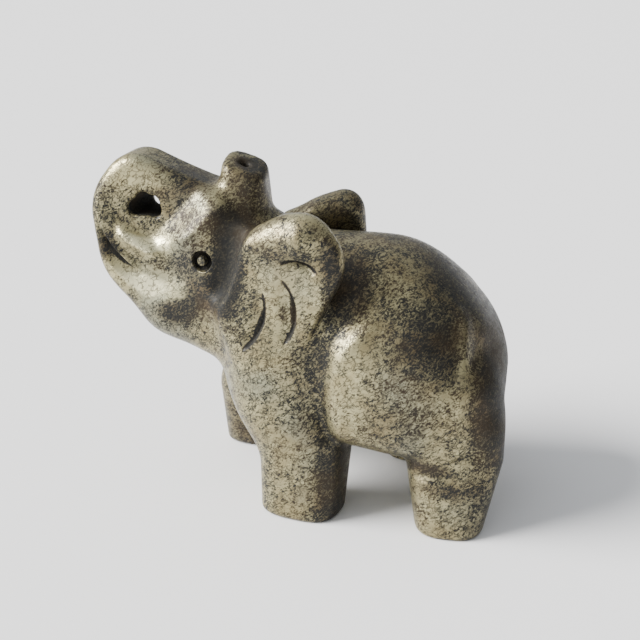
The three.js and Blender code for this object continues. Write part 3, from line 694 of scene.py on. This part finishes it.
def tone_of(points):
    tone = np.zeros(len(points))
    for centre, half_width, strength in TONE_PATCHES:
        away = (((points - centre) / half_width) ** 2).sum(1)
        tone += strength * np.exp(-(away**1.5))
    tone += streaks(points, PAINTED_HIGHLIGHT_RIDGES)
    x, y, z = points.T
    # painted shade, deepest in every cut and on each crescent's steep wall; the narrow hollows get
    # theirs below
    painted_shade = np.clip((-figure(x, y, z) - CUT_SHADE_STARTS) / (CUT_SHADE_IS_FULL - CUT_SHADE_STARTS), 0, 1)
    for cut_line in EAR_CUTS:
        line = arc_cut(*on_ear(x, y, z), **{**cut_line, **CUT_SHADE_LINE}) * (np.abs(y) > CUT_SHADE_LINE_OUT)
        painted_shade = np.maximum(painted_shade, np.clip(line, 0, 1))
    return np.clip(tone, DARKEST, BRIGHTEST) - CUT_SHADE * painted_shade - streaks(points, PAINTED_SHADE_LINES)


def linear(hex_colour):
    channels = (int(hex_colour[i : i + 2], 16) / 255 for i in (1, 3, 5))
    return [c / 12.92 if c <= 0.04045 else ((c + 0.055) / 1.055) ** 2.4 for c in channels] + [1.0]


def add_node(tree, kind, inputs=(), **settings):
    """Adds a node with its settings. An input is a number, a hex colour, a node or a node's output."""
    node = tree.nodes.new(kind)
    for name, value in settings.items():
        setattr(node, name, value)
    for socket, value in dict(inputs).items():
        if isinstance(value, bpy.types.Node):
            value = value.outputs[0]
        if isinstance(value, bpy.types.NodeSocket):
            tree.links.new(value, node.inputs[socket])
        else:
            node.inputs[socket].default_value = linear(value) if isinstance(value, str) else value
    return node


# Widths of the stone's patterns in millimetres. Its real grains go down to a hundredth of a
# millimetre, too fine to show, so the finest here are drawn as coarse as they need to be.
GRAIN = 1 / 3.1
SPECK = 1 / 5.2
CLUMP = 1 / 0.85
ZONE = 1 / 0.15
WANDER = 1 / 1.3
CRACKED_CELL = 1 / 1.5
CRACKED_PLACE = 1.0
VEIN = 1 / 0.7
BROWN_FIELD = 1 / 0.3
GREY_FIELD = 1 / 0.12
GROUND_FIELD = 1 / 0.17
WANDER_BY = 0.8
GRAIN_RELIEF = 0.08
GRAIN_SLOPE = 0.9  # the grains lie drawn out along the stone's own slanting bed, in radians
GRAIN_DRAWN_OUT = 0.62
MIX_SHARE, MIX_FIRST, MIX_SECOND, MIX_RESULT = 0, 6, 7, 2  # the colour sockets of a Mix node


def polished_pyrite():
    """Pyrite ground and tumbled to a polish. Its brassy grains are small mirrors that catch the
    light one by one, packed in a dark slaty ground that stays dull, with fine dark veins."""
    material = bpy.data.materials.new("polished_pyrite")
    material.use_nodes = True
    tree = material.node_tree
    tree.nodes.clear()
    maths, noise, cells = "ShaderNodeMath", "ShaderNodeTexNoise", "ShaderNodeTexVoronoi"
    where = add_node(tree, "ShaderNodeTexCoord").outputs["Object"]
    tone = add_node(tree, "ShaderNodeAttribute", attribute_name="tone").outputs["Fac"]

    # the pattern is drawn out along the bed and wanders, so no grain is round
    turned = {"Rotation": (0.0, GRAIN_SLOPE, 0.0), "Scale": (GRAIN_DRAWN_OUT, 1.0, 1.0)}
    stretch = {"Vector": where, **turned}
    stretched = add_node(tree, "ShaderNodeMapping", stretch, vector_type="TEXTURE")
    warp = add_node(tree, noise, {"Vector": where, "Scale": 1 / (WANDER * MM), "Detail": 2.0})
    by = {0: warp.outputs["Color"], 1: (WANDER_BY * MM,) * 3, 2: stretched}
    bent = add_node(tree, "ShaderNodeVectorMath", by, operation="MULTIPLY_ADD").outputs[0]

    patterns = {}
    for name, place, width, detail, roughness in (
        ("grains", bent, GRAIN, 4.0, 0.62),
        ("clumps", bent, CLUMP, 3.0, 0.55),
        ("zones", where, ZONE, 2.0, 0.5),
        ("specks", bent, SPECK, 1.0, 0.5),
        ("cracked places", where, CRACKED_PLACE, 1.0, 0.5),
        ("veins", bent, VEIN, 2.0, 0.5),
        ("brown fields", where, BROWN_FIELD, 3.0, 0.6),
        ("grey fields", where, GREY_FIELD, 1.0, 0.5),
        ("ground fields", where, GROUND_FIELD, 2.0, 0.5),
    ):
        inputs = {"Vector": place, "Scale": 1 / (width * MM), "Detail": detail, "Roughness": roughness}
        patterns[name] = add_node(tree, noise, inputs)
    cell_size = {"Vector": bent, "Scale": 1 / (CRACKED_CELL * MM)}
    to_crack = add_node(tree, cells, cell_size, feature="DISTANCE_TO_EDGE")
    cell_colour = add_node(tree, cells, cell_size).outputs["Color"]
    tint = add_node(tree, "ShaderNodeSeparateColor", {"Color": cell_colour})
    off_vein = add_node(tree, maths, {0: patterns["veins"], 1: 0.5}, operation="SUBTRACT")
    to_vein = add_node(tree, maths, {0: off_vein}, operation="ABSOLUTE")

    # how much metal shows: grains in clumps in zones, thickened or thinned by the tone, which also
    # carries painted highlights and painted shade
    held_tone = add_node(tree, maths, {0: tone, 1: 1.2}, operation="MINIMUM")
    level = 0.0
    for pattern, weight in (
        (patterns["zones"], 0.25),
        (patterns["clumps"], 0.5),
        (patterns["grains"], 1.0),
        (held_tone, 0.17),
    ):
        level = add_node(tree, maths, {0: pattern, 1: weight, 2: level}, operation="MULTIPLY_ADD")

    # each share rises smoothly from none to all between two levels of a pattern
    shares = {}
    for name, pattern, none, everything in (
        ("metal", level, 0.74, 0.93),
        ("specks", patterns["specks"], 0.6, 0.7),
        ("clear of painted shade", tone, -2.4, -1.5),
        ("off the cracks", to_crack, 0.02, 0.13),
        ("not cracked", patterns["cracked places"], 0.44, 0.56),
        ("off the veins", to_vein, 0.006, 0.024),
        ("not veined", patterns["clumps"], 0.5, 0.6),
        ("brown", patterns["brown fields"], 0.4, 0.68),
        ("grey", patterns["grey fields"], 0.52, 0.75),
        ("brown ground", patterns["ground fields"], 0.45, 0.62),
        ("pale ground", patterns["grains"], 0.45, 0.7),
        ("bright", tone, -1.0, 0.6),
        # painted highlight, where the tone rises past 0.9
        ("painted_highlight", tone, 0.9, 2.0),
        ("dull", tone, -0.8, -1.5),
        # painted shade, where the tone sinks below -1.6
        ("painted_shade", tone, -1.6, -3.0),
    ):
        inputs = {"Value": pattern, "From Min": none, "From Max": everything}
        shares[name] = add_node(tree, "ShaderNodeMapRange", inputs, interpolation_type="SMOOTHSTEP")

    # a few fine bright grains show even where the dark ground wins, but not in the painted shade of
    # the cuts and hollows;
    # dark cracks run between the grains in places, and short veins wander across them
    metal, speck = shares["metal"], shares["specks"]
    speck = add_node(tree, maths, {0: speck, 1: shares["clear of painted shade"]}, operation="MULTIPLY")
    speck = add_node(tree, maths, {0: speck, 1: 0.7}, operation="MULTIPLY")
    metal = add_node(tree, maths, {0: metal, 1: speck}, operation="MAXIMUM")
    crack = {0: shares["off the cracks"], 1: shares["not cracked"]}
    vein = {0: shares["off the veins"], 1: shares["not veined"]}
    crack = add_node(tree, maths, crack, operation="MAXIMUM")
    vein = add_node(tree, maths, vein, operation="MAXIMUM")
    unbroken = add_node(tree, maths, {0: crack, 1: vein}, operation="MINIMUM")
    left_in = add_node(tree, maths, {0: unbroken, 1: 0.75, 2: 0.25}, operation="MULTIPLY_ADD")
    metal = add_node(tree, maths, {0: metal, 1: left_in}, operation="MULTIPLY")

    tinted = add_node(tree, maths, {0: tint, 1: 0.35}, operation="MULTIPLY")
    colours = {}
    for name, share, first, second in (
        ("dull metal", shares["brown"], "#625b47", "#5b4f3d"),
        ("brass", shares["brown"], "#b8b088", "#a29770"),
        ("brass", shares["grey"], "brass", "#9b9b84"),
        ("brass", tinted, "brass", "#736a50"),
        ("brass", shares["bright"], "dull metal", "brass"),
        # paler brass for the painted highlights
        ("brass", shares["painted_highlight"], "brass", "#dcd6b0"),
        ("ground", shares["brown ground"], "#212120", "#31291f"),
        ("ground", shares["pale ground"], "ground", "#3a372f"),
        ("stone", metal, "ground", "brass"),
    ):
        first, second = colours.get(first, first), colours.get(second, second)
        inputs = {MIX_SHARE: share, MIX_FIRST: first, MIX_SECOND: second}
        colours[name] = add_node(tree, "ShaderNodeMix", inputs, data_type="RGBA").outputs[MIX_RESULT]

    # the metal shines as metal and the painted shade hardly at all; dark places and painted shade are
    # rougher
    shine, rough = 0.15, 0.2
    for pattern, weight in ((shares["painted_shade"], -0.15), (metal, 0.65)):
        inputs = {0: pattern, 1: weight, 2: shine}
        shine = add_node(tree, maths, inputs, operation="MULTIPLY_ADD")
    for pattern, weight in (
        (patterns["grains"], 0.16),
        (tint, 0.12),
        (shares["dull"], 0.2),
        (shares["painted_shade"], 0.4),
    ):
        inputs = {0: pattern, 1: weight, 2: rough}
        rough = add_node(tree, maths, inputs, operation="MULTIPLY_ADD")
    height = {"Height": patterns["grains"], "Strength": 0.5, "Distance": GRAIN_RELIEF * MM}
    relief = add_node(tree, "ShaderNodeBump", height)
    finish = {
        "Base Color": colours["stone"],
        "Metallic": shine,
        "Roughness": rough,
        "Normal": relief,
        "Specular IOR Level": 0.15,
    }
    shader = add_node(tree, "ShaderNodeBsdfPrincipled", finish)
    add_node(tree, "ShaderNodeOutputMaterial", {"Surface": shader})
    return material


tone = elephant_mesh.attributes.new("tone", "FLOAT", "POINT")
tone.data.foreach_set("value", tone_of(points))
elephant_mesh.materials.append(polished_pyrite())
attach(elephant, "root")
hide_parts("elephant_carving")

# Floor.
# A matt white sheet of paper under the carving, wide enough to fill the view, that the soft shadow
# falls on. It only lies there.
HALF_SHEET = 2.0
SHEET_CORNERS = [(x * HALF_SHEET, y * HALF_SHEET, 0) for x, y in ((-1, -1), (1, -1), (1, 1), (-1, 1))]
sheet_mesh = bpy.data.meshes.new("white_sheet")
sheet_mesh.from_pydata(SHEET_CORNERS, [], [(0, 1, 2, 3)])
sheet = bpy.data.objects.new("white_sheet", sheet_mesh)
bpy.context.scene.collection.objects.link(sheet)
paper = bpy.data.materials.new("matt_white_paper")
paper.use_nodes = True
paper_shader = paper.node_tree.nodes["Principled BSDF"]
paper_shader.inputs["Base Color"].default_value = linear("#f2f2f3")
paper_shader.inputs["Roughness"].default_value = 0.9
sheet_mesh.materials.append(paper)

# Light.
# A broad low window on the left, far enough off to light the whole sheet alike, in a pale room that
# is brighter on the window's side.
WINDOW_SHINES = (0.82, 0.24, -0.52)
BRIGHT_SIDE = (-0.75, -0.2, 0.6)
window = bpy.data.lights.new("window", "SUN")
window.energy = 10.0
window.angle = 0.65
window.color = (1.0, 0.985, 0.96)
holder = bpy.data.objects.new("window", window)
holder.rotation_euler = Vector(WINDOW_SHINES).to_track_quat("-Z", "Y").to_euler()
bpy.context.scene.collection.objects.link(holder)
room = bpy.data.worlds.new("pale_room")
room.use_nodes = True
backdrop = room.node_tree.nodes["Background"]
backdrop.inputs["Color"].default_value = linear("#eef1f4")
aim = add_node(room.node_tree, "ShaderNodeTexCoord").outputs["Generated"]
towards = {0: aim, 1: BRIGHT_SIDE}
facing = add_node(room.node_tree, "ShaderNodeVectorMath", towards, operation="DOT_PRODUCT")
brightness = {"From Min": -0.7, "From Max": 0.95, "To Min": 0.22, "To Max": 1.1}
brightness["Value"] = facing.outputs["Value"]
glow = add_node(room.node_tree, "ShaderNodeMapRange", brightness)
room.node_tree.links.new(glow.outputs[0], backdrop.inputs["Strength"])
bpy.context.scene.world = room

# Camera.
# It stands close to the near side, level with the rump, and looks down a little and towards the
# head.
LENS_AT = Vector((0.0251, -0.1148, 0.06287)) - Vector(middle) * MM
LENS_LOOKS = (-0.17930, 0.92243, -0.34202)
lens = bpy.data.cameras.new("camera")
lens.sensor_width = 36.0
lens.lens = 59.06
lens.clip_start = 0.01
camera = bpy.data.objects.new("camera", lens)
camera.location = LENS_AT
camera.rotation_euler = Vector(LENS_LOOKS).to_track_quat("-Z", "Y").to_euler()
bpy.context.scene.collection.objects.link(camera)
bpy.context.scene.camera = camera
